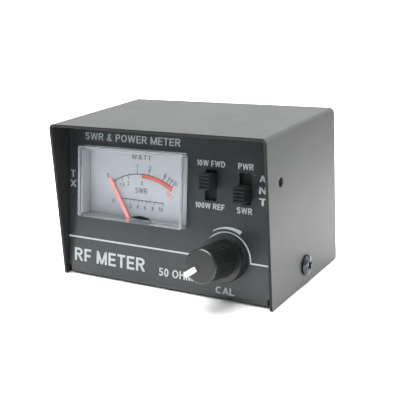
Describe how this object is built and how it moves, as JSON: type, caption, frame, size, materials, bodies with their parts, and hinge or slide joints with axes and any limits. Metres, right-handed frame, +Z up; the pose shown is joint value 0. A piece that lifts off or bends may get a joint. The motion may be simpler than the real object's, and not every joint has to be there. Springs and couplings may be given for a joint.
{
  "type": "swr meter",
  "caption": "Bench SWR and power meter: folded steel case with a leaning front panel, clear-windowed moving-coil meter, slide switches, calibration knob and rear coaxial sockets.",
  "frame": {"origin": "centre of the cover footprint, on the surface the case stands on", "axes": "+Z up; the front panel faces -Y, the coaxial sockets point along +Y, +X is to the right seen from the front"},
  "size_m": [0.1034, 0.0925, 0.0653],
  "materials": {
    "case_paint": "satin black-grey powder coat, fine texture",
    "panel_paint": "satin charcoal paint with pale printing",
    "black_zinc": "black zinc plate",
    "clear": "clear moulded acrylic",
    "case_plastic": "light grey moulded plastic",
    "dial": "white printed scale",
    "zinc": "bright zinc plate",
    "soft_iron": "plain ground iron",
    "cast_frame": "die cast",
    "brass": "turned brass",
    "bronze": "phosphor bronze strip",
    "copper": "copper",
    "bridge_black": "black anodised",
    "bright_steel": "polished steel",
    "needle_red": "red painted aluminium strip",
    "phenolic": "brown phenolic paper",
    "tinned": "tinned steel",
    "black_plastic": "fine matt black moulding",
    "knob_plastic": "satin black moulding",
    "white_ink": "white filled bar",
    "nickel": "nickel plate",
    "ptfe": "white insulator",
    "board_green": "green solder resist",
    "board_tan": "paper phenolic board",
    "glass_diode": "glass body",
    "resistor_body": "lacquered body",
    "capacitor_body": "dipped body",
    "trimmer_blue": "moulded housing",
    "wire_red": "stranded wire insulation"
  },
  "bodies": {
    "case": {"cover": "case_paint", "chassis": "panel_paint", "cover_screws": "black_zinc", "meter_window": "clear", "meter_case": "case_plastic", "scale_plate": "dial", "scale_screws": "zinc", "movement_frame": "cast_frame", "yoke_ring": "soft_iron", "magnet_core": "soft_iron", "core_webs": "brass", "front_bridge": "bridge_black", "jewel_screws": "brass", "hairsprings": "bronze", "pointer_stops": "bright_steel", "meter_terminals": "zinc", "panel_studs": "zinc", "stud_nuts": "zinc", "control_board": "board_tan", "range_switch_can": "tinned", "range_switch_base": "phenolic", "range_switch_contacts": "bronze", "function_switch_can": "tinned", "function_switch_base": "phenolic", "function_switch_contacts": "bronze", "pot_housing": "tinned", "pot_wafer": "phenolic", "pot_terminals": "bronze", "pot_bushing": "nickel", "pot_washer": "zinc", "pot_nut": "zinc", "tx_socket": "nickel", "tx_insulator": "ptfe", "tx_contact": "brass", "ant_socket": "nickel", "ant_insulator": "ptfe", "ant_contact": "brass", "socket_screws": "nickel", "socket_nuts": "zinc", "coupler_board": "board_green", "coupler_lines": "copper", "detector_diodes": "glass_diode", "coupler_resistors": "resistor_body", "coupler_capacitors": "capacitor_body", "trimmers": "trimmer_blue", "hookup_wires": "wire_red"},
    "needle": {"moving_coil": "copper", "pivot_staffs": "bright_steel", "pointer": "needle_red", "balance_weights": "brass"},
    "range_slide": {"range_slider": "black_plastic", "range_clips": "bronze"},
    "function_slide": {"function_slider": "black_plastic", "function_clips": "bronze"},
    "knob": {"pot_shaft": "cast_frame", "pot_wiper": "bronze", "cal_knob": "knob_plastic", "knob_line": "white_ink"}
  },
  "joints": [
    {"name": "needle_swing", "type": "hinge", "parent": "case", "child": "needle", "pos_m": [-0.0131, -0.02641, 0.01742], "axis": [0, -0.987, 0.1606], "range_deg": [-66, 1.5], "stiffness_Nm_per_rad": 0.00005},
    {"name": "range_switch", "type": "slide", "parent": "case", "child": "range_slide", "axis": [0, 0.1606, 0.987], "range_m": [-0.0037, 0]},
    {"name": "function_switch", "type": "slide", "parent": "case", "child": "function_slide", "axis": [0, 0.1606, 0.987], "range_m": [0, 0.0037]},
    {"name": "calibration", "type": "hinge", "parent": "case", "child": "knob", "pos_m": [0.029, -0.02649, 0.01688], "axis": [0, -0.987, 0.1606], "range_deg": [-274, 26]}
  ]
}
